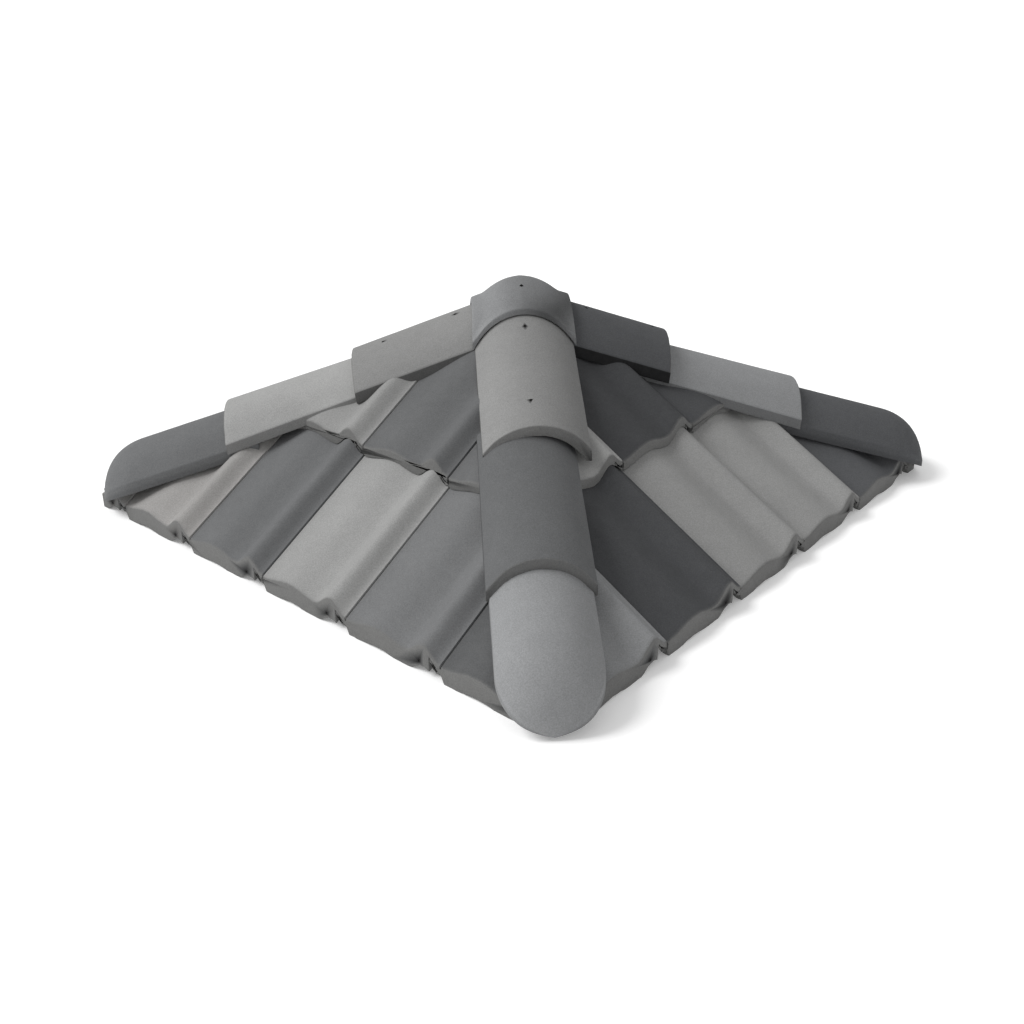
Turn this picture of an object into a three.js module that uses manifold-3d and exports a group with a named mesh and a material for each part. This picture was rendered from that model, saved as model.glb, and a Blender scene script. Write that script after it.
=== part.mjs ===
// Pyramid roof top of interlocking concrete tiles. Four hips of ridge tiles run up to a
// square four-way apex tile. Millimetres, +Z up, the hips lie along X and Y, -Y is the front.

import * as THREE from 'three';
import { mergeVertices } from 'three/addons/utils/BufferGeometryUtils.js';
import Module from 'manifold-3d';

const wasm = await Module();
wasm.setup();

// Roof
const roofPitch = THREE.MathUtils.degToRad(29.2);
const cornerReach = 932;          // axis to an eave corner, along a hip, at joint level
const eaveRise = 30;              // joint level of the eave row above the seat
const hipInset = 10;              // cut edges of the field tiles to the plane of a hip
const roofHeight = 600;           // only bounds the cutting prisms
const eaveLength = cornerReach * Math.SQRT2;
const eaveReach = cornerReach / Math.SQRT2;
const hipFall = Math.tan(roofPitch) / Math.SQRT2;

// Field tile
const tileLength = 420;
const tileCover = 240;
const rowGauge = 329;
const rowStep = 20;
const jointGap = 1;
const layGap = 0.5;
const bodyThickness = 15;
const rollThickness = 12;
const rollStart = 152;
const rollCrown = 200;
const panCrown = 85;
const noseLength = 28;
const noseEnd = 212;              // the nose lip stops short of the side lock
const eaveNoseDrop = 33;
const eaveNoseFollow = 0.7;
const lockWidth = 26;

// Heights of the tile face over the joint level, at these distances from the joint
const faceKnots = [
  [0, 0.5],
  [panCrown, 12],
  [rollStart, 2.5],
  [rollCrown, 25],
  [tileCover - jointGap, 3],
];

// Hip tiles, laid from the eave corner upwards. The crown of each lower end stands so far in
// from the end below it, and so far over the joint level of the roof.
const hipThickness = 22;
const lap = 75;
const arcSteps = 3;
const starterInset = 2;
const starterRise = 86;
const starterSlope = 0.302;
const middleStep = 305;
const middleRise = 80;
const middleSlope = 0.3;
const topStep = 310;
const topRise = 78;
const topSlope = 0.338;
const endLean = 0.2;              // the cut ends stand nearly plumb

const topForm = { radius: 75, turn: 30, half: 102, edgeHalf: 104, edge: 81, inner: 89, edgeInner: 92 };
const middleForm = { radius: 99, turn: 50, half: 95, edgeHalf: 96, edge: 83 };
const starterForm = { radius: 95, turn: 50, half: 89, edgeHalf: 90, edge: 78 };
const middleHeadWidth = 0.97;     // section of the middle tile's head against its lower end
const middleHeadDepth = 0.8;
const mitreGap = 1;
const topHeadReach = 40;
const domeLength = 95;
const domeSteps = 4;
const domeLast = THREE.MathUtils.degToRad(78);
const domeWall = 18;

// Apex tile
const crownShift = 18;            // the apex and the top hip tiles are laid off the axis, along +X
const apexHalf = 107;
const apexStep = 16;              // its crown lines over the crown lines of the top hip tiles
const apexClear = 3;              // under it, over the top hip tiles
const apexWall = 15;
const apexTop = 486;
const apexDomeRadius = 100;
const apexSideInset = 0.03;       // each side bows in by this share of the half width
const apexCells = 8;
const apexBlend = 8;

// Concrete colours
const tones = {
  light: { color: 0xa5a39d, roughness: 0.93 },
  warm: { color: 0xaaa69e, roughness: 0.93 },
  mid: { color: 0x83827e, roughness: 0.92 },
  dark: { color: 0x686866, roughness: 0.9 },
  graphite: { color: 0x4c4d4f, roughness: 0.88 },
};

function toSolid(geometry, matrix) {
  const bare = new THREE.BufferGeometry();
  bare.setAttribute('position', geometry.getAttribute('position').clone());
  if (geometry.index) {
    bare.setIndex(geometry.index.clone());
  }
  if (matrix) {
    bare.applyMatrix4(matrix);
  }
  const merged = mergeVertices(bare, 1e-3);
  return new wasm.Manifold(new wasm.Mesh({
    numProp: 3,
    vertProperties: new Float32Array(merged.getAttribute('position').array),
    triVerts: new Uint32Array(merged.index.array),
  }));
}

function toGeometry(solid) {
  const mesh = solid.getMesh();
  const geometry = new THREE.BufferGeometry();
  const positions = new Float32Array(mesh.vertProperties);
  geometry.setAttribute('position', new THREE.BufferAttribute(positions, 3));
  geometry.setIndex(new THREE.BufferAttribute(new Uint32Array(mesh.triVerts), 1));
  return geometry.toNonIndexed();
}

function largestBody(solid) {
  const bodies = solid.decompose();
  bodies.sort((a, b) => b.volume() - a.volume());
  return bodies[0];
}

function placeTurned(x, y, z, rotX) {
  const matrix = new THREE.Matrix4().makeRotationX(rotX);
  matrix.setPosition(x, y, z);
  return matrix;
}

function outlineShape(points) {
  const shape = new THREE.Shape();
  shape.moveTo(points[0][0], points[0][1]);
  for (const point of points.slice(1)) {
    shape.lineTo(point[0], point[1]);
  }
  shape.closePath();
  return shape;
}

// A prism of the outline whose stations are then put in place one by one
function sweep(points, steps, place) {
  const geometry = new THREE.ExtrudeGeometry(
    outlineShape(points), { depth: 1, steps, bevelEnabled: false });
  const position = geometry.getAttribute('position');
  for (let i = 0; i < position.count; i += 1) {
    const station = Math.round(position.getZ(i) * steps) / steps;
    const [x, y, z] = place(position.getX(i), position.getY(i), station);
    position.setXYZ(i, x, y, z);
  }
  return geometry;
}

// Field tiles

function faceHeight(x) {
  for (let i = 1; i < faceKnots.length; i += 1) {
    const [x0, z0] = faceKnots[i - 1];
    const [x1, z1] = faceKnots[i];
    if (x <= x1) {
      const share = (1 - Math.cos(Math.PI * (x - x0) / (x1 - x0))) / 2;
      return z0 + (z1 - z0) * share;
    }
  }
  return faceKnots[faceKnots.length - 1][1];
}

function underHeight(x) {
  const share = THREE.MathUtils.smoothstep(x, rollStart, rollCrown);
  return faceHeight(x) - bodyThickness + (bodyThickness - rollThickness) * share;
}

function spread(from, to, count) {
  return Array.from({ length: count + 1 }, (_, i) => from + (to - from) * i / count);
}

const tileRight = tileCover - jointGap;
const faceStations = [...spread(0, panCrown, 2), ...spread(panCrown, rollStart, 2).slice(1),
  ...spread(rollStart, rollCrown, 3).slice(1), tileCover - lockWidth,
  tileCover - lockWidth / 2, tileRight];
const underStations = [...spread(0, rollStart, 2), rollCrown, tileCover - lockWidth, tileRight];

// The height of the faceted surface, so that laid tiles meet facet on facet
function onFacets(stations, height, x) {
  const next = Math.max(1, stations.findIndex((station) => station >= x - 1e-9));
  const [x0, x1] = [stations[next - 1], stations[next]];
  return height(x0) + (height(x1) - height(x0)) * (x - x0) / (x1 - x0);
}

const faceFacet = (x) => onFacets(faceStations, faceHeight, x);
const underFacet = (x) => onFacets(underStations, underHeight, x);

function bodyOutline() {
  const lockTop = (x) => underFacet(tileCover + x) - layGap;
  const lockBottom = (x) => faceFacet(tileCover + x) - rowStep + layGap;
  const points = faceStations.map((x) => [x, faceHeight(x)]);
  points.push(...underStations.slice(1).reverse().map((x) => [x, underHeight(x)]));
  points.push([0, lockBottom(-jointGap)]);
  points.push([-lockWidth / 2, lockBottom(-lockWidth / 2)]);
  points.push([-lockWidth, lockBottom(-lockWidth)]);
  points.push([-lockWidth, lockTop(-lockWidth)]);
  points.push([-jointGap, lockTop(-jointGap)]);
  points.push([0, lockTop(-jointGap)]);
  return points;
}

function noseOutline(isEave) {
  const xs = [...faceStations.filter((x) => x < noseEnd), noseEnd];
  const bottom = isEave
    ? (x) => eaveNoseFollow * faceFacet(x) - eaveNoseDrop
    : (x) => faceFacet(x) - rowStep + layGap;
  const inside = (x) => (faceFacet(x) + underFacet(x)) / 2;
  const lower = xs.map((x) => [x, bottom(x)]);
  const upper = xs.map((x) => [x, inside(x)]).reverse();
  return [...lower, ...upper];
}

// Outline x runs along the eave, outline y off the roof, the length runs up the slope.
// Both ends are plumb, so a point off the roof is moved up the slope.
function laidLength(points, length) {
  return sweep(points, 1, (x, y, u) => [x, u * length + y * Math.tan(roofPitch), y]);
}

function laidSolid(points, length) {
  const solid = toSolid(laidLength(points, length));
  return solid.volume() < 0 ? toSolid(flipped(laidLength(points, length))) : solid;
}

// Swapping two axes turns a closed body inside out; this turns it back
function flipped(geometry) {
  const position = geometry.getAttribute('position');
  for (let i = 0; i < position.count; i += 3) {
    const [x, y, z] = [position.getX(i + 1), position.getY(i + 1), position.getZ(i + 1)];
    position.setXYZ(i + 1, position.getX(i + 2), position.getY(i + 2), position.getZ(i + 2));
    position.setXYZ(i + 2, x, y, z);
  }
  return geometry;
}

function sectorGeometry() {
  const inset = hipInset * Math.SQRT2;
  const far = 2 * cornerReach;
  const points = [[0, -inset], [-far, -inset - far], [far, -inset - far]];
  return sweep(points, 1, (x, y, u) => [x, y, u * roofHeight]);
}

const facePlane = placeTurned(0, -eaveReach, eaveRise, roofPitch);

function fieldTile(row, leftEdge) {
  const spot = new THREE.Vector3(leftEdge - eaveLength / 2, row * rowGauge, row * rowStep);
  const local = new THREE.Matrix4().makeTranslation(spot.x, spot.y, spot.z);
  const toLocal = facePlane.clone().multiply(local).invert();
  const whole = laidSolid(bodyOutline(), tileLength)
    .add(laidSolid(noseOutline(row === 0), noseLength));
  const cut = largestBody(whole.intersect(toSolid(sectorGeometry(), toLocal)));
  return { solid: cut, position: spot };
}

// Hip tiles

function arcPoints(radius, turn, lowered) {
  return spread(0, THREE.MathUtils.degToRad(turn), arcSteps).map((angle) => [
    radius * Math.sin(angle),
    -lowered - radius * (1 - Math.cos(angle)),
  ]);
}

function mirrored(half) {
  const left = half.slice(1).reverse().map(([x, y]) => [-x, y]);
  return [...left, ...half];
}

function outerOutline(form) {
  const half = arcPoints(form.radius, form.turn, 0);
  const [x, y] = half[half.length - 1];
  const fall = Math.tan(THREE.MathUtils.degToRad(form.turn));
  half.push([form.half, y - (form.half - x) * fall]);
  half.push([form.edgeHalf, -form.edge]);
  return mirrored(half);
}

function innerOutline(form) {
  const half = arcPoints(form.radius - hipThickness, form.turn, hipThickness);
  const [x, y] = half[half.length - 1];
  const fall = Math.tan(THREE.MathUtils.degToRad(form.turn));
  const below = -form.edge - hipThickness;
  if (form.inner) {
    half.push([form.inner, y - (form.inner - x) * fall]);
    half.push([form.edgeInner, -form.edge]);
    half.push([form.edgeInner, below]);
  } else {
    half.push([x + (y + form.edge) / fall, -form.edge]);
    half.push([x + (y + form.edge) / fall, below]);
  }
  return mirrored(half);
}

// Outline x runs across, outline y off the crown, the length runs down to the lower end at 0
function ridgePlace(length, headWidth, headDepth) {
  return (x, y, u) => {
    const along = (u - 1) * length;
    const across = x * (headWidth + (1 - headWidth) * u);
    const down = y * (headDepth + (1 - headDepth) * u);
    return [across, down, along - down * endLean];
  };
}

function domePlace(end, form, straight, reach) {
  return (x, y, u) => {
    const station = Math.round(u * (domeSteps + 1));
    const angle = Math.max(0, station - 1) / domeSteps * domeLast;
    const along = station === 0 ? -straight : reach * Math.sin(angle);
    const share = Math.cos(angle);
    const height = y < -form.edge ? y : -form.edge + (y + form.edge) * share;
    return [x * share, height, along - domeLength - height * end.slope];
  };
}

function hipEnd(reach, rise, slope) {
  return { reach, height: eaveRise + (cornerReach - reach) * hipFall + rise, slope };
}

const starterEnd = hipEnd(cornerReach - starterInset, starterRise, starterSlope);
const middleEnd = hipEnd(starterEnd.reach - middleStep, middleRise, middleSlope);
const topEnd = hipEnd(middleEnd.reach - topStep, topRise, topSlope);

// A tile laid further down its own slope than its fellows
function slid(end, down) {
  const run = down * Math.cos(Math.atan(end.slope));
  return { reach: end.reach + run, height: end.height - run * end.slope, slope: end.slope };
}

function hipMatrix(end) {
  return placeTurned(0, -end.reach, end.height, Math.PI / 2 + Math.atan(end.slope));
}

function hipWorld(hip, part) {
  const turn = new THREE.Matrix4().makeRotationZ(THREE.MathUtils.degToRad(hip.turn));
  const shift = new THREE.Matrix4().makeTranslation(part === 'top' ? crownShift : 0, 0, 0);
  return shift.multiply(turn).multiply(hipMatrix(hip.ends[part]));
}

function slopeLength(end, headReach) {
  return (end.reach - headReach) * Math.hypot(1, end.slope);
}

function ridgeSolids(end, form, headReach, headWidth, headDepth) {
  const length = slopeLength(end, headReach);
  const place = ridgePlace(length, headWidth, headDepth);
  const throughPlace = (x, y, u) => place(x, y, u * 1.2 - 0.1);
  return {
    outer: toSolid(sweep(outerOutline(form), 1, place)),
    inner: toSolid(sweep(innerOutline(form), 1, throughPlace)),
  };
}

function starterSolids(end, headReach) {
  const straight = slopeLength(end, headReach) - domeLength;
  const steps = domeSteps + 1;
  const place = domePlace(end, starterForm, straight, domeLength);
  const hollow = domePlace(end, starterForm, straight + lap, domeLength - domeWall);
  return {
    outer: toSolid(sweep(outerOutline(starterForm), steps, place)),
    inner: toSolid(sweep(innerOutline(starterForm), steps, hollow)),
  };
}

// The filled form of the tile below, lifted by the lay gap, as seen by the tile above
function liftedBelow(hip, below, belowPart, part) {
  const lift = new THREE.Matrix4().makeTranslation(0, 0, 2 * layGap);
  const matrix = hipWorld(hip, part).invert().multiply(lift).multiply(hipWorld(hip, belowPart));
  return below.transform(matrix.elements);
}

function topSector(end) {
  const points = [[0, -mitreGap * Math.SQRT2], [-roofHeight, -roofHeight - mitreGap * Math.SQRT2],
    [roofHeight, -roofHeight - mitreGap * Math.SQRT2]];
  const prism = sweep(points, 1, (x, y, u) => [x, y, u * roofHeight]);
  return toSolid(prism, hipMatrix(end).invert());
}

function hipTiles(hip) {
  const { top: topAt, middle: middleAt, starter: starterAt } = hip.ends;
  const shiftOut = crownShift * Math.sin(THREE.MathUtils.degToRad(hip.turn));
  const top = ridgeSolids(topAt, topForm, topHeadReach, 1, 1);
  const middle = ridgeSolids(middleAt, middleForm, topAt.reach + shiftOut - lap,
    middleHeadWidth, middleHeadDepth);
  const starter = starterSolids(starterAt, middleAt.reach - lap);
  return {
    top: largestBody(top.outer.subtract(top.inner)
      .subtract(liftedBelow(hip, middle.outer, 'middle', 'top')).intersect(topSector(topAt))),
    middle: largestBody(middle.outer.subtract(middle.inner)
      .subtract(liftedBelow(hip, starter.outer, 'starter', 'middle'))),
    starter: largestBody(starter.outer.subtract(starter.inner)),
  };
}

// Apex tile

function archDrop(form, x) {
  const turn = THREE.MathUtils.degToRad(form.turn);
  const flat = form.radius * Math.sin(turn);
  if (x <= flat) {
    return form.radius - Math.sqrt(form.radius * form.radius - x * x);
  }
  return form.radius * (1 - Math.cos(turn)) + (x - flat) * Math.tan(turn);
}

function softMax(values, blend) {
  const top = Math.max(...values);
  const sum = values.reduce((total, value) => total + Math.exp((value - top) / blend), 0);
  return top + blend * Math.log(sum) - blend * Math.log(2);
}

function apexLine(reach) {
  return topEnd.height + (topEnd.reach - reach) * topEnd.slope + apexStep;
}

function apexArms(x, y) {
  const [ax, ay] = [Math.abs(x), Math.abs(y)];
  return [apexLine(ay) - archDrop(topForm, ax), apexLine(ax) - archDrop(topForm, ay)];
}

function apexUpper(x, y) {
  const dome = { radius: apexDomeRadius, turn: 45 };
  const cap = apexTop - archDrop(dome, Math.hypot(x, y));
  return Math.max(softMax([...apexArms(x, y), cap], apexBlend), ...apexArms(x, y));
}

function apexLower(x, y) {
  const overTiles = Math.max(...apexArms(x, y)) - apexStep + apexClear;
  return Math.max(overTiles, apexUpper(x, y) - apexWall);
}

function apexSolid() {
  const geometry = new THREE.BoxGeometry(2, 2, 1, apexCells, apexCells, 1);
  const position = geometry.getAttribute('position');
  for (let i = 0; i < position.count; i += 1) {
    const [u, v] = [position.getX(i), position.getY(i)];
    const x = apexHalf * u * (1 - apexSideInset * (1 - v * v));
    const y = apexHalf * v * (1 - apexSideInset * (1 - u * u));
    const z = position.getZ(i) > 0 ? apexUpper(x, y) : apexLower(x, y);
    position.setXYZ(i, x, y, z);
  }
  return toSolid(geometry);
}

// Assembly

function makeMesh(name, solid, tone) {
  const material = new THREE.MeshStandardMaterial({
    color: tones[tone].color, roughness: tones[tone].roughness, metalness: 0 });
  material.name = `concrete_${tone}`;
  const mesh = new THREE.Mesh(toGeometry(solid), material);
  mesh.geometry.computeVertexNormals();
  mesh.name = name;
  return mesh;
}

const steepLeft = { start: 107, lower: [-1, 0, 1, 2, 3, 4], upper: [1, 2, 3] };
const steepRight = { start: 66, lower: [-1, 0, 1, 2, 3, 4, 5], upper: [1, 2, 3] };

const faces = [
  { name: 'front_left', turn: -45, ...steepLeft,
    tones: ['warm', 'warm', 'dark', 'light', 'mid', 'dark', 'light', 'dark', 'mid'] },
  { name: 'front_right', turn: 45, ...steepRight,
    tones: ['mid', 'mid', 'graphite', 'light', 'light', 'graphite', 'dark', 'light', 'graphite',
      'graphite'] },
  { name: 'back_right', turn: 135, ...steepLeft,
    tones: ['mid', 'mid', 'graphite', 'mid', 'light', 'dark', 'light', 'mid', 'dark'] },
  { name: 'back_left', turn: -135, ...steepRight,
    tones: ['dark', 'dark', 'light', 'mid', 'dark', 'light', 'mid', 'dark', 'light', 'mid'] },
];

const straightLaid = { top: topEnd, middle: middleEnd, starter: starterEnd };

const hips = [
  { name: 'front', turn: 0, tones: { top: 'light', middle: 'dark', starter: 'mid' },
    ends: { top: slid(topEnd, 104), middle: slid(middleEnd, 88), starter: starterEnd } },
  { name: 'right', turn: 90, tones: { top: 'graphite', middle: 'mid', starter: 'graphite' },
    ends: straightLaid },
  { name: 'back', turn: 180, tones: { top: 'mid', middle: 'light', starter: 'mid' },
    ends: straightLaid },
  { name: 'left', turn: -90, tones: { top: 'light', middle: 'light', starter: 'dark' },
    ends: { top: slid(topEnd, 51), middle: middleEnd, starter: slid(starterEnd, -18) } },
];

const roof = new THREE.Group();
roof.name = 'pyramid_roof_top';

function turnedGroup(name, degrees) {
  const group = new THREE.Group();
  group.name = name;
  group.rotation.z = THREE.MathUtils.degToRad(degrees);
  group.updateMatrix();
  return group;
}

const laidTiles = [];

for (const face of faces) {
  const turned = turnedGroup(`face_${face.name}`, face.turn);
  const sloped = new THREE.Group();
  sloped.name = `slope_${face.name}`;
  sloped.position.set(0, -eaveReach, eaveRise);
  sloped.rotation.x = roofPitch;
  turned.add(sloped);
  roof.add(turned);
  const places = [
    ...face.lower.map((k, i) => ({ row: 0, label: `lower_${i + 1}`, k })),
    ...face.upper.map((k, i) => ({ row: 1, label: `upper_${i + 1}`, k })),
  ];
  places.forEach((place, i) => {
    const tile = fieldTile(place.row, face.start + place.k * tileCover);
    const mesh = makeMesh(`tile_${face.name}_${place.label}`, tile.solid, face.tones[i]);
    mesh.position.copy(tile.position);
    sloped.add(mesh);
    mesh.updateWorldMatrix(true, false);
    laidTiles.push(tile.solid.transform(mesh.matrixWorld.elements));
  });
}

// Every hip tile is relieved where its skirts would sink into the field tiles
const bedDepths = [0, 1, 2].map((k) => 2 * layGap - k * rollThickness);
const bed = wasm.Manifold.union(
  bedDepths.flatMap((depth) => laidTiles.map((tile) => tile.translate([0, 0, depth]))));

for (const hip of hips) {
  const solids = hipTiles(hip);
  for (const part of Object.keys(solids)) {
    const world = hipWorld(hip, part);
    const bedHere = bed.transform(world.clone().invert().elements);
    const mesh = makeMesh(`hip_${hip.name}_${part}`,
      largestBody(solids[part].subtract(bedHere)), hip.tones[part]);
    world.decompose(mesh.position, mesh.quaternion, mesh.scale);
    roof.add(mesh);
  }
}

const apex = makeMesh('apex_tile', apexSolid(), 'mid');
apex.position.set(crownShift, 0, 0);
roof.add(apex);

export default roof;
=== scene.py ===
import math

import bmesh
import bpy
import numpy as np
from mathutils import Euler, Matrix, Vector, noise


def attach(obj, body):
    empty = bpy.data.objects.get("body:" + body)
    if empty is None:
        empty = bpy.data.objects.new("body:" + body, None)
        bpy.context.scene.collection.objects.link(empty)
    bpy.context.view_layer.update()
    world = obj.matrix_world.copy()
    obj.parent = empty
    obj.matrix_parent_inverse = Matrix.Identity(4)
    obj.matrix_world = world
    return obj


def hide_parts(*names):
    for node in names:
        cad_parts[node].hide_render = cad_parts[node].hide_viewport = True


# Lengths are in millimetres here and become metres in make_piece.
MM = 0.001

# Roof, the same sizes as the solids
ROOF_PITCH = math.radians(29.2)
CORNER_REACH = 932.0
EAVE_RISE = 30.0
HIP_INSET = 10.0
EAVE_LENGTH = CORNER_REACH * math.sqrt(2)
EAVE_REACH = CORNER_REACH / math.sqrt(2)
HIP_FALL = math.tan(ROOF_PITCH) / math.sqrt(2)

# Field tile
TILE_LENGTH = 420.0
TILE_COVER = 240.0
ROW_GAUGE = 329.0
ROW_STEP = 20.0
JOINT_GAP = 1.0
LAY_GAP = 0.5
BODY_THICK = 15.0
ROLL_THICK = 12.0
ROLL_START = 152.0
ROLL_CROWN = 200.0
PAN_CROWN = 85.0
NOSE_LENGTH = 28.0
NOSE_END = 212.0
EAVE_NOSE_DROP = 33.0
EAVE_NOSE_FOLLOW = 0.7
LOCK_WIDTH = 26.0
NOSE_HOLE = (188.0, -7.0, -4.0)
FACE_KNOTS = ((0.0, 0.5), (PAN_CROWN, 12.0), (ROLL_START, 2.5), (ROLL_CROWN, 25.0),
              (TILE_COVER - JOINT_GAP, 3.0))

# Hip tiles
HIP_THICK = 22.0
LAP = 75.0
STARTER_REACH, STARTER_RISE, STARTER_SLOPE = CORNER_REACH - 2.0, 86.0, 0.302
MIDDLE_REACH, MIDDLE_RISE, MIDDLE_SLOPE = STARTER_REACH - 305.0, 80.0, 0.3
TOP_REACH, TOP_RISE, TOP_SLOPE = MIDDLE_REACH - 310.0, 78.0, 0.338
END_LEAN = 0.2
TOP_FORM = dict(radius=120.0, turn=50.0, half=102.0, edge_half=104.0, edge=81.0,
                inner=89.0, edge_inner=92.0)
MIDDLE_FORM = dict(radius=99.0, turn=50.0, half=95.0, edge_half=96.0, edge=83.0)
STARTER_FORM = dict(radius=95.0, turn=50.0, half=89.0, edge_half=90.0, edge=78.0)
MIDDLE_HEAD = (0.97, 0.8)
MITRE_GAP = 1.0
TOP_HEAD_REACH = 40.0
DOME_LENGTH = 95.0
DOME_TIP = math.sin(math.radians(78.0))
DOME_WALL = 18.0
DOME_SINK = 28.0

# Apex tile
CROWN_SHIFT = 18.0
APEX_HALF = 107.0
APEX_STEP = 16.0
APEX_CLEAR = 3.0
APEX_WALL = 15.0
APEX_TOP = 486.0
APEX_DOME_RADIUS = 100.0
APEX_SIDE_INSET = 0.03
APEX_FRONT_INSET = 0.14
APEX_BLEND = 8.0

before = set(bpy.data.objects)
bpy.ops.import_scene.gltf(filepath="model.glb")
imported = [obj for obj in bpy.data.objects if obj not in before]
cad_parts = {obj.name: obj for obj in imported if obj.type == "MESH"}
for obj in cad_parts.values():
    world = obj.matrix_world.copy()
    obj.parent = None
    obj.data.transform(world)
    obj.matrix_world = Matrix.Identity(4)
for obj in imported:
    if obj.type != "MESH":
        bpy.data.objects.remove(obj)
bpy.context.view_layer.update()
scene = bpy.context.scene
scene.view_settings.view_transform = "Standard"
scene.view_settings.look = "None"

# Camera, at the photograph's angle, over a frame of 1024 by 1024
camera_data = bpy.data.cameras.new("camera")
camera_data.sensor_width = 36.0
camera_data.lens = 1155.8 / 1024.0 * 36.0
camera_data.shift_x = -4.55 / 1024.0
camera_data.clip_end = 100.0
camera = bpy.data.objects.new("camera", camera_data)
scene.collection.objects.link(camera)
scene.camera = camera
AZIMUTH, ELEVATION, DISTANCE = math.radians(-3.26), math.radians(27.09), 2.667
ROLL = math.radians(-1.23)
LOOK_AT = Vector((0.0, 0.0, -0.0685))
camera.location = LOOK_AT + DISTANCE * Vector((
    math.sin(AZIMUTH) * math.cos(ELEVATION),
    -math.cos(AZIMUTH) * math.cos(ELEVATION),
    math.sin(ELEVATION)))
view = (LOOK_AT - camera.location).to_track_quat("-Z", "Y").to_matrix()
camera.rotation_euler = (view @ Matrix.Rotation(ROLL, 3, "Z")).to_euler()


# Materials

def srgb(hex_value):
    parts = [((hex_value >> shift) & 255) / 255.0 for shift in (16, 8, 0)]
    return [p / 12.92 if p <= 0.04045 else ((p + 0.055) / 1.055) ** 2.4 for p in parts] + [1.0]


RAW_TONE = 0x6C6C6B


def concrete(name, hex_value, seed, gain=1.0):
    """Matte pressed concrete: cloudy tone and fine sand grain with a faint bump; its darker rims are
    the raw body colour from the raw attribute and painted shade from the shade attribute, which also
    carries painted light.
    """
    mat = bpy.data.materials.new(name)
    mat.use_nodes = True
    tree = mat.node_tree
    nodes, links = tree.nodes, tree.links
    shader = nodes["Principled BSDF"]
    shader.inputs["Metallic"].default_value = 0.0
    shader.inputs["Specular IOR Level"].default_value = 0.3

    place = nodes.new("ShaderNodeTexCoord")
    shift = nodes.new("ShaderNodeMapping")
    shift.inputs["Location"].default_value = (seed * 1.37, seed * 0.71, seed * 2.13)
    links.new(place.outputs["Object"], shift.inputs["Vector"])

    def noise_node(scale, detail, rough=0.6):
        node = nodes.new("ShaderNodeTexNoise")
        node.inputs["Scale"].default_value = scale
        node.inputs["Detail"].default_value = detail
        node.inputs["Roughness"].default_value = rough
        links.new(shift.outputs["Vector"], node.inputs["Vector"])
        return node

    def spread(source, low, high, start=0.3, end=0.7):
        node = nodes.new("ShaderNodeMapRange")
        node.inputs["From Min"].default_value = start
        node.inputs["From Max"].default_value = end
        node.inputs["To Min"].default_value = low
        node.inputs["To Max"].default_value = high
        links.new(source, node.inputs["Value"])
        return node

    def times(a, b):
        node = nodes.new("ShaderNodeMath")
        node.operation = "MULTIPLY"
        links.new(a, node.inputs[0])
        links.new(b, node.inputs[1])
        return node

    clouds = spread(noise_node(5.0, 3.0).outputs["Fac"], 0.95, 1.05)
    patches = spread(noise_node(28.0, 5.0, 0.7).outputs["Fac"], 0.97, 1.03)
    sand = spread(noise_node(420.0, 3.0, 0.8).outputs["Fac"], 0.8, 1.2)
    tone = times(times(clouds.outputs[0], patches.outputs[0]).outputs[0], sand.outputs[0])

    # The shade attribute carries the painted shade and painted light of each piece.
    shade = nodes.new("ShaderNodeAttribute")
    shade.attribute_name = "shade"
    tone = times(tone.outputs[0], shade.outputs["Fac"])

    raw = nodes.new("ShaderNodeAttribute")
    raw.attribute_name = "raw"
    body = nodes.new("ShaderNodeMix")
    body.data_type = "RGBA"
    body.inputs["A"].default_value = [c * gain for c in srgb(hex_value)[:3]] + [1.0]
    body.inputs["B"].default_value = srgb(RAW_TONE)
    links.new(raw.outputs["Fac"], body.inputs["Factor"])

    colour = nodes.new("ShaderNodeVectorMath")
    colour.operation = "SCALE"
    links.new(body.outputs["Result"], colour.inputs[0])
    links.new(tone.outputs[0], colour.inputs["Scale"])
    links.new(colour.outputs[0], shader.inputs["Base Color"])

    rough = spread(noise_node(60.0, 3.0).outputs["Fac"], 0.78, 0.95)
    links.new(rough.outputs[0], shader.inputs["Roughness"])

    grain = noise_node(620.0, 4.0, 0.75)
    waves = noise_node(45.0, 4.0)
    both = nodes.new("ShaderNodeMath")
    both.operation = "MULTIPLY_ADD"
    both.inputs[1].default_value = 2.2
    links.new(waves.outputs["Fac"], both.inputs[0])
    links.new(grain.outputs["Fac"], both.inputs[2])
    bump = nodes.new("ShaderNodeBump")
    bump.inputs["Strength"].default_value = 0.28
    bump.inputs["Distance"].default_value = 0.0012
    links.new(both.outputs[0], bump.inputs["Height"])
    links.new(bump.outputs["Normal"], shader.inputs["Normal"])
    return mat


# Pieces

# How much lighter or darker a tile came out than its batch
GAINS = {
    "apex_tile": 0.74, "hip_front_top": 0.55, "hip_front_middle": 0.78, "hip_front_starter": 1.0,
    "hip_left_top": 0.6, "hip_left_middle": 0.82, "hip_left_starter": 0.96,
    "hip_right_top": 0.92, "tile_front_left_lower_1": 0.7, "tile_front_left_lower_2": 0.7,
    "tile_front_left_lower_3": 0.9, "tile_front_left_lower_4": 0.72,
    "tile_front_left_lower_5": 0.65, "tile_front_left_lower_6": 0.66,
    "tile_front_left_upper_1": 0.67, "tile_front_left_upper_2": 0.8,
    "tile_front_left_upper_3": 0.5,
    "tile_front_right_lower_3": 0.76, "tile_front_right_lower_4": 0.64,
    "tile_front_right_lower_5": 0.68, "tile_front_right_lower_6": 1.14,
    "tile_front_right_upper_1": 0.78, "tile_front_right_upper_2": 0.62,
    "tile_front_right_upper_3": 0.78,
}


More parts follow.
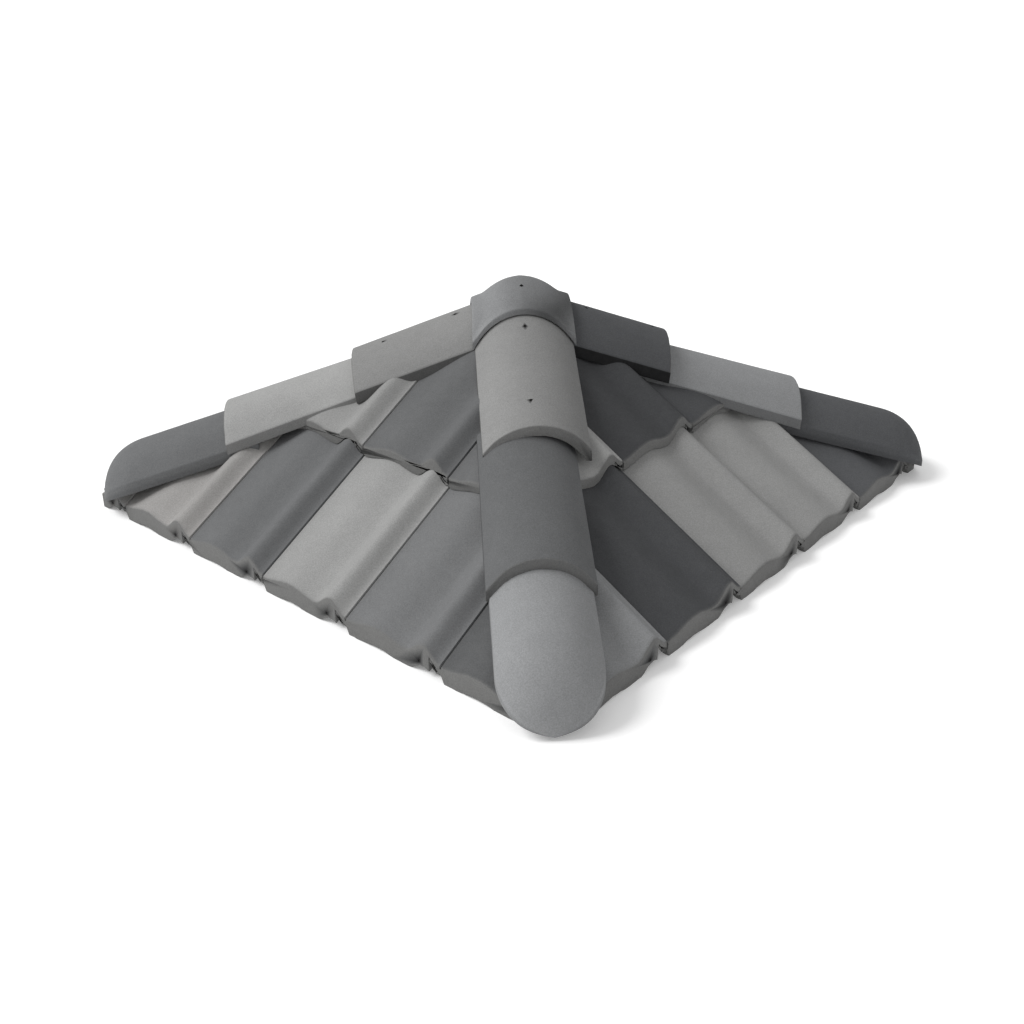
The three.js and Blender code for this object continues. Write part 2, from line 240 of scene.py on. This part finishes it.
def make_piece(name, verts, faces, matrix, tone_hex, seed, nodes, shade=None, raw=None,
               cuts=(), sharp=38.0, wobble=0.3, holes=()):
    """A closed mesh from points in a tile's own frame, cut by planes and slightly uneven."""
    verts = np.asarray(verts, float)
    mesh = bpy.data.meshes.new(name)
    mesh.from_pydata([tuple(v) for v in verts], [], [tuple(f) for f in faces])
    bm = bmesh.new()
    bm.from_mesh(mesh)
    layer = bm.verts.layers.float.new("shade")
    bm.verts.ensure_lookup_table()
    raw_layer = bm.verts.layers.float.new("raw")
    values = np.ones(len(verts)) if shade is None else shade
    raws = np.zeros(len(verts)) if raw is None else raw
    for vert, value, bare in zip(bm.verts, values, raws):
        vert[layer] = float(value)
        vert[raw_layer] = float(bare)
    bmesh.ops.transform(bm, matrix=matrix, verts=bm.verts)
    for point, normal in cuts:
        found = bmesh.ops.bisect_plane(
            bm, geom=bm.verts[:] + bm.edges[:] + bm.faces[:], plane_co=point, plane_no=normal,
            clear_outer=True, dist=1e-4)
        rim = [e for e in found["geom_cut"] if isinstance(e, bmesh.types.BMEdge)]
        if rim:
            filled = bmesh.ops.triangle_fill(bm, edges=rim, use_beauty=True)
            del filled
    bmesh.ops.remove_doubles(bm, verts=bm.verts, dist=1e-3)
    bmesh.ops.recalc_face_normals(bm, faces=bm.faces)
    bm.normal_update()
    moves = []
    for vert in bm.verts:
        spot = vert.co / 70.0 + Vector((seed * 3.1, seed * 1.7, 0.0))
        fine = vert.co / 14.0 + Vector((0.0, seed * 2.3, seed))
        depth = wobble * (noise.noise(spot) - 0.6) + 0.35 * wobble * noise.noise(fine)
        moves.append(vert.normal * depth)
    for vert, move in zip(bm.verts, moves):
        vert.co += move
        if vert.co.z < 0.0:
            vert.co.z = 0.0
    bmesh.ops.scale(bm, vec=(MM, MM, MM), verts=bm.verts)
    bm.to_mesh(mesh)
    bm.free()
    mesh.shade_smooth()
    mesh.set_sharp_from_angle(angle=math.radians(sharp))
    piece = bpy.data.objects.new(name, mesh)
    scene.collection.objects.link(piece)
    for spot, direction, radius, depth in holes:
        drill(piece, spot, direction, radius, depth)
    gain = GAINS.get(nodes[0], 1.0)
    piece.data.materials.append(concrete(name, tone_hex, seed, gain))
    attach(piece, "root")
    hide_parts(*nodes)
    return piece


def drill(piece, spot, direction, radius, depth):
    """A nail hole, made as a real pit."""
    bm = bmesh.new()
    turn = Vector(direction).to_track_quat("Z", "Y").to_matrix().to_4x4()
    bmesh.ops.create_cone(
        bm, cap_ends=True, segments=14, radius1=radius * 0.8 * MM, radius2=radius * 1.15 * MM,
        depth=2 * depth * MM, matrix=Matrix.Translation(Vector(spot) * MM) @ turn)
    mesh = bpy.data.meshes.new("pit")
    bm.to_mesh(mesh)
    bm.free()
    pit = bpy.data.objects.new("pit", mesh)
    scene.collection.objects.link(pit)
    cut = piece.modifiers.new("pit", "BOOLEAN")
    cut.operation = "DIFFERENCE"
    cut.solver = "EXACT"
    cut.object = pit
    graph = bpy.context.evaluated_depsgraph_get()
    graph.update()
    drilled = bpy.data.meshes.new_from_object(piece.evaluated_get(graph))
    piece.modifiers.remove(cut)
    piece.data = drilled
    bpy.data.objects.remove(pit)


def loop_faces(rings, count, closed_ends=True):
    """Quads between rings of count points each; the first and last ring are closed."""
    faces = []
    for r in range(rings - 1):
        a, b = r * count, (r + 1) * count
        for i in range(count):
            j = (i + 1) % count
            faces.append((a + i, a + j, b + j, b + i))
    if closed_ends:
        faces.append(tuple(range(count)))
        faces.append(tuple(reversed(range((rings - 1) * count, rings * count))))
    return faces


def inward(points, amount):
    """The closed outline moved inwards by amount, for the rounding of an end."""
    points = np.asarray(points, float)
    ahead = np.roll(points, -1, axis=0) - points
    back = points - np.roll(points, 1, axis=0)
    tangent = ahead / (np.linalg.norm(ahead, axis=1)[:, None] + 1e-9)
    tangent += back / (np.linalg.norm(back, axis=1)[:, None] + 1e-9)
    tangent /= np.linalg.norm(tangent, axis=1)[:, None] + 1e-9
    normal = np.stack([-tangent[:, 1], tangent[:, 0]], axis=1)
    area = np.sum(points[:, 0] * np.roll(points[:, 1], -1)
                  - np.roll(points[:, 0], -1) * points[:, 1])
    if area < 0:
        normal = -normal
    return points + normal * amount


# Field tiles

def face_height(x):
    for (x0, z0), (x1, z1) in zip(FACE_KNOTS[:-1], FACE_KNOTS[1:]):
        if x <= x1:
            share = (1 - math.cos(math.pi * (x - x0) / (x1 - x0))) / 2
            return z0 + (z1 - z0) * share
    return FACE_KNOTS[-1][1]


def under_height(x):
    share = min(1.0, max(0.0, (x - ROLL_START) / (ROLL_CROWN - ROLL_START)))
    share = share * share * (3 - 2 * share)
    return face_height(x) - BODY_THICK + (BODY_THICK - ROLL_THICK) * share


def tile_ring(along, eave, seed):
    right = TILE_COVER - JOINT_GAP
    lip = max(0.0, min(1.0, (NOSE_LENGTH + 3.0 - along) / 5.0))

    def under(x):
        body = under_height(x)
        if x > NOSE_END or lip <= 0.0:
            return body
        low = (EAVE_NOSE_FOLLOW * face_height(x) - EAVE_NOSE_DROP) if eave \
            else face_height(x) - ROW_STEP + LAY_GAP
        return min(body, body + (low - body) * lip)

    ring = [(0.0, face_height(0) - 1.8), (0.5, face_height(0.5) - 0.5)]
    ring += [(x, face_height(x)) for x in np.linspace(2.0, right - 2.5, 56)]
    ring += [(right - 0.6, face_height(right) + 0.1), (right, face_height(right) - 1.8)]
    ring += [(x, under(x)) for x in
             [right, right - 8, right - 17, right - 25, NOSE_END + 1.0]]
    ring += [(x, under(x)) for x in np.linspace(NOSE_END, 6.0, 32)]
    lock_top = lambda x: under_height(TILE_COVER + x) - LAY_GAP
    lock_low = lambda x: face_height(TILE_COVER + x) - ROW_STEP + LAY_GAP + 1.0
    ring += [(0.0, lock_low(-1.0)), (-9.0, lock_low(-9.0)), (-18.0, lock_low(-18.0)),
             (-LOCK_WIDTH, lock_low(-LOCK_WIDTH)), (-LOCK_WIDTH, lock_top(-LOCK_WIDTH)),
             (-19.0, lock_top(-19.0)), (-18.6, lock_top(-19.0) - 5.0),
             (-9.4, lock_top(-9.0) - 4.0), (-9.0, lock_top(-9.0)),
             (0.0, lock_top(-1.0))]
    return np.array(ring)


def field_tile(name, row, left_edge, turn, tone_hex, seed, hip_left, hip_right, tints=()):
    stations = [(0.0, 2.6), (0.5, 1.3), (1.6, 0.45), (3.2, 0.0)]
    stations += [(t, 0.0) for t in (6.0, 11.0, 17.0, 24.0, 27.0, 29.5, 32.0)]
    stations += [(t, 0.0) for t in np.linspace(42.0, TILE_LENGTH, 32)]
    verts, shades, raws = [], [], []
    rng = np.random.default_rng(seed)
    phase = rng.uniform(0, 100, 3)
    for along, inset in stations:
        base = tile_ring(along, row == 0, seed)
        ring = inward(base, inset) if inset else base
        for k, ((x, n), (bx, bn)) in enumerate(zip(ring, base)):
            rough = 0.0
            if along < 4.0:
                rough = 0.9 * (noise.noise(Vector((bx / 11.0 + phase[0], bn / 9.0, phase[1]))) + 0.25)
                rough += 0.5 * noise.noise(Vector((bx / 3.5, bn / 3.5 + phase[2], phase[0])))
            verts.append((x, max(0.0, rough) + along + n * math.tan(ROOF_PITCH), n))
            # Darker towards the nose, and painted shade in a strip beside the joint, where the
            # neighbour's roll shades the pan.
            tone = 0.93 + 0.07 * min(1.0, along / 14.0)
            if bx < 7.0:
                tone *= 0.95
            shades.append(tone)
            raws.append(1.0 if k > 59 or along < 1.0 else max(0.0, 0.75 - along / 6.0))
    count = len(tile_ring(0.0, True, seed))
    faces = loop_faces(len(stations), count)
    spot = Matrix.Translation((left_edge - EAVE_LENGTH / 2, row * ROW_GAUGE, row * ROW_STEP))
    plane = Matrix.Translation((0, -EAVE_REACH, EAVE_RISE)) @ Matrix.Rotation(ROOF_PITCH, 4, "X")
    turned = Matrix.Rotation(math.radians(turn), 4, "Z")
    matrix = turned @ plane @ spot
    cuts = []
    inset = HIP_INSET * math.sqrt(2)
    for side in (-1, 1):
        point = turned @ Vector((0, -inset, 0))
        normal = turned.to_3x3() @ Vector((side, 1, 0)).normalized()
        cuts.append((point, normal))
    level = NOSE_HOLE[1] if row == 0 else NOSE_HOLE[2]
    pit = matrix @ Vector((NOSE_HOLE[0], level * math.tan(ROOF_PITCH), level))
    outward = matrix.to_3x3() @ Vector((0, -1, 0))
    return make_piece(name + "_concrete", verts, faces, matrix, tone_hex, seed, [name],
                      shade=shades, raw=raws, cuts=cuts, holes=[(pit, outward, 2.3, 8.0)])


# Hip tiles

def arc_points(radius, turn, lowered, count):
    return [(radius * math.sin(a), -lowered - radius * (1 - math.cos(a)))
            for a in np.linspace(0, math.radians(turn), count)]


def refine(points, step):
    out = [points[0]]
    for a, b in zip(points[:-1], points[1:]):
        steps = max(1, int(math.ceil(math.dist(a, b) / step)))
        out += [(a[0] + (b[0] - a[0]) * k / steps, a[1] + (b[1] - a[1]) * k / steps)
                for k in range(1, steps + 1)]
    return out


def soften(points, cut):
    """Rounds the corners of an open line of points."""
    out = [points[0]]
    for before, here, after in zip(points[:-2], points[1:-1], points[2:]):
        a, b, c = (Vector(p) for p in (before, here, after))
        turn = (b - a).angle(c - b) if (b - a).length and (c - b).length else 0
        if turn < math.radians(15):
            out.append(here)
            continue
        reach = min(cut, (b - a).length / 2, (c - b).length / 2)
        start, end = b + (a - b).normalized() * reach, b + (c - b).normalized() * reach
        for k in range(5):
            s = k / 4.0
            p = start * (1 - s) ** 2 + b * 2 * s * (1 - s) + end * s ** 2
            out.append((p.x, p.y))
    out.append(points[-1])
    return out


def hip_ring(form):
    """One half: outer face from the crown down, the lower edge, and back up the inner face."""
    outer = arc_points(form["radius"], form["turn"], 0.0, 14)
    x, y = outer[-1]
    fall = math.tan(math.radians(form["turn"]))
    outer.append((form["half"], y - (form["half"] - x) * fall))
    outer.append((form["edge_half"], -form["edge"]))
    inner = arc_points(form["radius"] - HIP_THICK, form["turn"], HIP_THICK, 10)
    x, y = inner[-1]
    if "inner" in form:
        inner.append((form["inner"], y - (form["inner"] - x) * fall))
        inner.append((form["edge_inner"], -form["edge"]))
    else:
        inner.append((x + (y + form["edge"]) / fall, -form["edge"]))
    half = refine(soften(outer + inner[::-1], 3.0), 9.0)
    left = [(-px, py) for px, py in half[1:-1]][::-1]
    return np.array(half + left), len(outer)


def hip_end(reach, rise, slope):
    return reach, EAVE_RISE + (CORNER_REACH - reach) * HIP_FALL + rise, slope


STARTER_END = hip_end(STARTER_REACH, STARTER_RISE, STARTER_SLOPE)
MIDDLE_END = hip_end(MIDDLE_REACH, MIDDLE_RISE, MIDDLE_SLOPE)
TOP_END = hip_end(TOP_REACH, TOP_RISE, TOP_SLOPE)


def slid(end, down):
    """A tile laid further down its own slope than its fellows."""
    reach, height, slope = end
    run = down * math.cos(math.atan(slope))
    return reach + run, height - run * slope, slope


def hip_matrix(end, turn, shift=0.0):
    reach, height, slope = end
    tilt = Matrix.Rotation(math.pi / 2 + math.atan(slope), 4, "X")
    return Matrix.Translation((shift, 0, 0)) @ Matrix.Rotation(math.radians(turn), 4, "Z") @ \
        Matrix.Translation((0, -reach, height)) @ tilt


def hip_tile(name, end, form, head_reach, head_share, turn, tone_hex, seed, cuts=(),
             holes=(), shift=0.0, painted_skirt_shade=0.62, painted_side_shading=0.0):
    reach, height, slope = end
    length = (reach - head_reach) * math.hypot(1, slope)
    ring, _ = hip_ring(form)
    crease = -form["radius"] * (1 - math.cos(math.radians(form["turn"])))
    crease -= (form["half"] - form["radius"] * math.sin(math.radians(form["turn"]))) \
        * math.tan(math.radians(form["turn"]))
    stations = [(0.0, 2.2), (0.5, 0.9), (1.5, 0.25), (3.0, 0.0), (8.0, 0.0)]
    stations += [(t, 0.0) for t in np.linspace(18.0, length, 26)]
    verts, shades, raws = [], [], []
    rng = np.random.default_rng(seed)
    phase = rng.uniform(0, 100, 3)
    for back, inset in stations:
        share = np.array([1 - (1 - head) * back / length for head in head_share])
        points = (inward(ring, inset) if inset else ring) * share
        for (x, y), (bx, by) in zip(points, ring):
            rough = 0.0
            if back < 4.0:
                rough = 0.9 * (noise.noise(Vector((bx / 13.0 + phase[0], by / 11.0, phase[1]))) + 0.2)
                rough += 0.5 * noise.noise(Vector((bx / 4.0, by / 4.0 + phase[2], phase[0])))
            verts.append((x, y, -back - max(0.0, rough) - y * END_LEAN))
            # Painted shade on the skirts below the crease; where a side factor is given, painted light
            # on the left and painted shade on the right. The lower end face is a little darker.
            skirt = abs(bx) > form["half"] - 1.5 and by < crease - 2.0
            shades.append((0.9 if back < 2.0 else 1.0) * (painted_skirt_shade if skirt else 1.0))
            shades[-1] *= 1.0 - painted_side_shading * max(-1.0, min(1.0, bx / 80.0))
            raws.append(0.7 if back < 1.0 else 0.3 if back < 2.0 else 0.0)
    faces = loop_faces(len(stations), len(ring))
    return make_piece(name + "_concrete", verts, faces, hip_matrix(end, turn, shift), tone_hex,
                      seed, [name], shade=shades, raw=raws, cuts=cuts, holes=holes)


def starter_tile(name, end, head_reach, turn, tone_hex, seed, painted_side_shading=0.0):
    reach, height, slope = end
    form = STARTER_FORM
    straight = (reach - head_reach) * math.hypot(1, slope) - DOME_LENGTH
    turned = math.radians(form["turn"])
    half_outer = refine(soften(arc_points(form["radius"], form["turn"], 0.0, 16)
                               + [(form["half"], -(form["radius"] * (1 - math.cos(turned))
                                   + (form["half"] - form["radius"] * math.sin(turned))
                                   * math.tan(turned))),
                                  (form["edge_half"], -form["edge"])], 3.0), 8.0)
    inner = arc_points(form["radius"] - HIP_THICK, form["turn"], HIP_THICK, 12)
    x, y = inner[-1]
    inner.append((x + (y + form["edge"]) / math.tan(turned), -form["edge"]))
    half_inner = refine(inner, 9.0)
    ring = [(px, py, True) for px, py in half_outer]
    ring += [(px, py, False) for px, py in half_inner[::-1]]
    ring += [(-px, py, False) for px, py in half_inner[1:]]
    ring += [(-px, py, True) for px, py in half_outer[::-1][:-1]]
    stations = [(0.0, s) for s in np.linspace(-straight, 0.0, 22)]
    stations += [(a, 0.0) for a in np.linspace(0, math.radians(90), 26)[1:]]
    verts, shades = [], []
    for angle, along in stations:
        wide = max(0.0, math.cos(angle)) ** 0.6
        high = max(0.0, math.cos(angle)) ** 0.65
        sunk = DOME_SINK * math.sin(angle) ** 0.8
        for px, py, is_outer in ring:
            reach_here = DOME_LENGTH if is_outer else DOME_LENGTH - DOME_WALL
            low = -form["edge"] - sunk + (py + form["edge"] + sunk) * high
            z = along + DOME_TIP * reach_here * math.sin(angle) - DOME_LENGTH - low * slope
            verts.append((px * wide, low, z))
            # Where a side factor is given, painted light on the left and painted shade on the right; a
            # band of painted shade along the lower rim.
            side = max(-1.0, min(1.0, px / 80.0))
            rim = 0.8 if py < 14.0 - form["edge"] else 1.0
            shades.append((1.0 - painted_side_shading * side) * rim)
    faces = loop_faces(len(stations), len(ring))
    return make_piece(name + "_concrete", verts, faces, hip_matrix(end, turn), tone_hex,
                      seed, [name], shade=shades)


# Apex tile

def arch_drop(radius, turn, x):
    turn = math.radians(turn)
    flat = radius * math.sin(turn)
    if x <= flat:
        return radius - math.sqrt(radius * radius - x * x)
    return radius * (1 - math.cos(turn)) + (x - flat) * math.tan(turn)


def apex_line(reach):
    return TOP_END[1] + (TOP_END[0] - reach) * TOP_END[2] + APEX_STEP


def apex_arms(x, y):
    ax, ay = abs(x), abs(y)
    radius, turn = TOP_FORM["radius"], TOP_FORM["turn"]
    return (apex_line(ay) - arch_drop(radius, turn, ax), apex_line(ax) - arch_drop(radius, turn, ay))


def apex_upper(x, y):
    cap = APEX_TOP - arch_drop(APEX_DOME_RADIUS, 45.0, math.hypot(x, y))
    values = [*apex_arms(x, y), cap]
    top = max(values)
    soft = top + APEX_BLEND * math.log(sum(math.exp((v - top) / APEX_BLEND) for v in values))
    return max(soft - APEX_BLEND * math.log(2), *apex_arms(x, y))


def apex_lower(x, y):
    over = max(apex_arms(x, y)) - APEX_STEP + APEX_CLEAR
    return max(over, apex_upper(x, y) - APEX_WALL)


def apex_tile(name, tone_hex, seed, holes):
    inner = np.linspace(-0.96, 0.96, 64)
    line = np.concatenate([[-1.0, -0.994, -0.98], inner, [0.98, 0.994, 1.0]])
    sink = np.concatenate([[3.0, 1.0, 0.2], np.zeros(len(inner)), [0.2, 1.0, 3.0]])
    size = len(line)
    verts, faces, shades = [], [], []
    for upper in (True, False):
        for i, u in enumerate(line):
            for j, v in enumerate(line):
                x = APEX_HALF * u * (1 - APEX_SIDE_INSET * (1 - v * v))
                inset = APEX_FRONT_INSET if v < 0 else APEX_SIDE_INSET
                y = APEX_HALF * v * (1 - inset * (1 - u * u))
                low = max(sink[i], sink[j])
                z = apex_upper(x, y) - low if upper else apex_lower(x, y)
                verts.append((x, y, z))
                # Painted light lifts the left of the tile; a band over the front right is darkened.
                band = math.exp(-((math.hypot(x - 10.0, y * 0.9) - 92.0) / 30.0) ** 2)
                side = 1.0 / (1.0 + math.exp(-(x - 5.0) / 14.0))
                shades.append(1.0 - 0.62 * band * side * (1.0 if y < 40.0 else 0.4))
                shades[-1] *= 1.0 + 0.26 / (1.0 + math.exp((x + 35.0) / 12.0))
    layer = size * size
    for i in range(size - 1):
        for j in range(size - 1):
            a, b, c, d = (i * size + j, (i + 1) * size + j,
                          (i + 1) * size + j + 1, i * size + j + 1)
            faces.append((a, b, c, d))
            faces.append((layer + d, layer + c, layer + b, layer + a))
    rim = [i * size for i in range(size)]
    rim += [(size - 1) * size + j for j in range(1, size)]
    rim += [i * size + size - 1 for i in range(size - 2, -1, -1)]
    rim += [j for j in range(size - 2, 0, -1)]
    for a, b in zip(rim, rim[1:] + rim[:1]):
        faces.append((b, a, layer + a, layer + b))
    return make_piece(name + "_concrete", verts, faces, Matrix.Translation((CROWN_SHIFT, 0, 0)),
                      tone_hex, seed, [name], shade=shades, holes=holes)


# The roof, tile by tile. Each tone is the colour of one cast tile.
TONES = {"light": 0xA4A4A3, "warm": 0xA9A7A5, "mid": 0x838485, "dark": 0x676869,
         "graphite": 0x4C4D4F}

STEEP_LEFT = (107.0, (-1, 0, 1, 2, 3, 4), (1, 2, 3))
STEEP_RIGHT = (66.0, (-1, 0, 1, 2, 3, 4, 5), (1, 2, 3))
FACES = (
    ("front_left", -45, STEEP_LEFT,
     ("warm", "warm", "dark", "light", "mid", "dark", "light", "dark", "mid")),
    ("front_right", 45, STEEP_RIGHT,
     ("mid", "mid", "graphite", "light", "light", "graphite", "dark", "light", "graphite",
      "graphite")),
    ("back_right", 135, STEEP_LEFT,
     ("mid", "mid", "graphite", "mid", "light", "dark", "light", "mid", "dark")),
    ("back_left", -135, STEEP_RIGHT,
     ("dark", "dark", "light", "mid", "dark", "light", "mid", "dark", "light", "mid")),
)
NAIL_PLACES = {"front": ((124.0, 0.0), (342.0, -6.0)), "right": ((140.0, 0.0), (285.0, 8.0)),
               "back": ((140.0, 0.0), (285.0, 5.0)), "left": ((140.0, 8.0), (295.0, 12.0))}
STRAIGHT = (TOP_END, MIDDLE_END, STARTER_END)
HIPS = (
    ("front", 0, ("light", "dark", "mid"), (slid(TOP_END, 104), slid(MIDDLE_END, 88), STARTER_END)),
    ("right", 90, ("graphite", "mid", "graphite"), STRAIGHT),
    ("back", 180, ("mid", "light", "mid"), STRAIGHT),
    ("left", -90, ("light", "light", "dark"), (slid(TOP_END, 51), MIDDLE_END, slid(STARTER_END, -18))),
)

seed = 1
for face, turn, (start, lower, upper), tones in FACES:
    places = [(0, f"lower_{i + 1}", k) for i, k in enumerate(lower)]
    places += [(1, f"upper_{i + 1}", k) for i, k in enumerate(upper)]
    for (row, label, k), tone in zip(places, tones):
        field_tile(f"tile_{face}_{label}", row, start + k * TILE_COVER, turn, TONES[tone], seed,
                   None, None)
        seed += 1


def crown_point(end, turn, reach):
    """A point of the crown line and its outward normal."""
    x, y, z = 0.0, -reach, end[1] + (end[0] - reach) * end[2]
    spin = Matrix.Rotation(math.radians(turn), 4, "Z")
    return spin @ Vector((x, y, z)), spin.to_3x3() @ Vector((0, -end[2], 1)).normalized()


for hip, turn, tones, (top_end, middle_end, starter_end) in HIPS:
    shift = Matrix.Translation((CROWN_SHIFT, 0, 0))
    spin = shift @ Matrix.Rotation(math.radians(turn), 4, "Z")
    mitres = [(spin @ Vector((0, -MITRE_GAP * math.sqrt(2), 0)),
               spin.to_3x3() @ Vector((side, 1, 0)).normalized()) for side in (-1, 1)]
    pits = []
    for reach, aside in NAIL_PLACES[hip]:
        spot, normal = crown_point(top_end, turn, reach)
        spot += Matrix.Rotation(math.radians(turn), 3, "Z") @ Vector((aside, 0, 0))
        pits.append((shift @ spot, normal, 2.6, 12.0))
    # Painted shade on the skirts of the top tiles, deepest on the right hip, and painted light and
    # shade across the front top and starter tiles.
    hip_tile(f"hip_{hip}_top", top_end, TOP_FORM, TOP_HEAD_REACH, (1, 1), turn, TONES[tones[0]],
             seed, cuts=mitres, holes=pits, shift=CROWN_SHIFT,
             painted_skirt_shade=0.12 if hip == "right" else 0.36, painted_side_shading=0.15 if hip == "front" else 0.0)
    shift_out = CROWN_SHIFT * math.sin(math.radians(turn))
    hip_tile(f"hip_{hip}_middle", middle_end, MIDDLE_FORM, top_end[0] + shift_out - LAP, MIDDLE_HEAD,
             turn, TONES[tones[1]], seed + 1)
    starter_tile(f"hip_{hip}_starter", starter_end, middle_end[0] - LAP, turn, TONES[tones[2]],
                 seed + 2, painted_side_shading=0.08 if hip == "front" else 0.0)
    seed += 3

apex_pits = [((CROWN_SHIFT, -38.0, apex_upper(0, -38.0)), (0, -0.3, 1), 3.4, 12.0)]
apex_tile("apex_tile", TONES["mid"], seed, apex_pits)

# Floor, light and world
floor_mesh = bpy.data.meshes.new("floor")
floor_mesh.from_pydata([(-60, -60, 0), (60, -60, 0), (60, 60, 0), (-60, 60, 0)], [], [(0, 1, 2, 3)])
floor = bpy.data.objects.new("floor", floor_mesh)
scene.collection.objects.link(floor)
floor_mat = bpy.data.materials.new("floor_paper")
floor_mat.use_nodes = True
floor_mat.node_tree.nodes["Principled BSDF"].inputs["Base Color"].default_value = (0.93, 0.93, 0.93, 1)
floor_mat.node_tree.nodes["Principled BSDF"].inputs["Roughness"].default_value = 0.9
floor_mat.node_tree.nodes["Principled BSDF"].inputs["Specular IOR Level"].default_value = 0.0
floor_mat.node_tree.nodes["Principled BSDF"].inputs["Emission Color"].default_value = (1, 1, 1, 1)
floor_mat.node_tree.nodes["Principled BSDF"].inputs["Emission Strength"].default_value = 0.17
floor_mesh.materials.append(floor_mat)
floor.location.z = -0.0005


key_data = bpy.data.lights.new("key", "SUN")
key_data.energy = 2.3
key_data.angle = math.radians(30.0)
key = bpy.data.objects.new("key", key_data)
scene.collection.objects.link(key)
key.rotation_euler = Vector((8.5, -0.6, -9.0)).to_track_quat("-Z", "Y").to_euler()

world = bpy.data.worlds.new("world")
scene.world = world
world.use_nodes = True
world.node_tree.nodes["Background"].inputs["Color"].default_value = (1, 1, 1, 1)
world.node_tree.nodes["Background"].inputs["Strength"].default_value = 0.62
